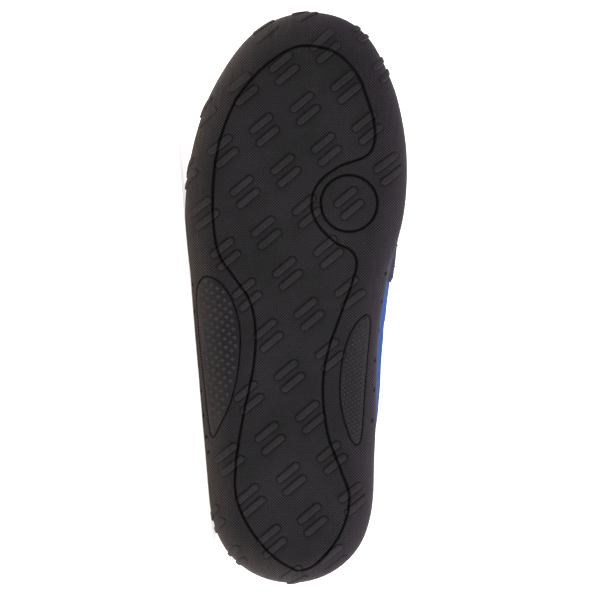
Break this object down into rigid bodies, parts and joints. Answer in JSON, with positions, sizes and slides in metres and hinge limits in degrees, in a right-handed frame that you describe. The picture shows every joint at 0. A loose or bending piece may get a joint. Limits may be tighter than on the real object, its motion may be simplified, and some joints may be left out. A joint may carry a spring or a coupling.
{
  "type": "water shoe",
  "caption": "Right water shoe with a wrapped rubber sole, grooved tread of small bar lugs, hollow stretch upper, forefoot overlay and bound collar.",
  "frame": {"origin": "centre of the bounding box's base, on the floor that the shoe lies on", "axes": "-X towards the toe, +Z towards the big-toe side, -Y out of the tread"},
  "size_m": [0.25, 0.074, 0.0978],
  "materials": {
    "black_rubber": "satin moulded rubber with a fine cross-hatch",
    "blue_neoprene": "knitted stretch fabric",
    "navy_mesh": "dense knitted overlay",
    "navy_binding": "folded tape",
    "grey_foam": "foam with a cloth cover"
  },
  "bodies": {
    "root": {"outsole": "black_rubber", "insole": "grey_foam", "upper": "blue_neoprene", "vamp_panel": "navy_mesh", "collar_binding": "navy_binding"}
  },
  "joints": []
}
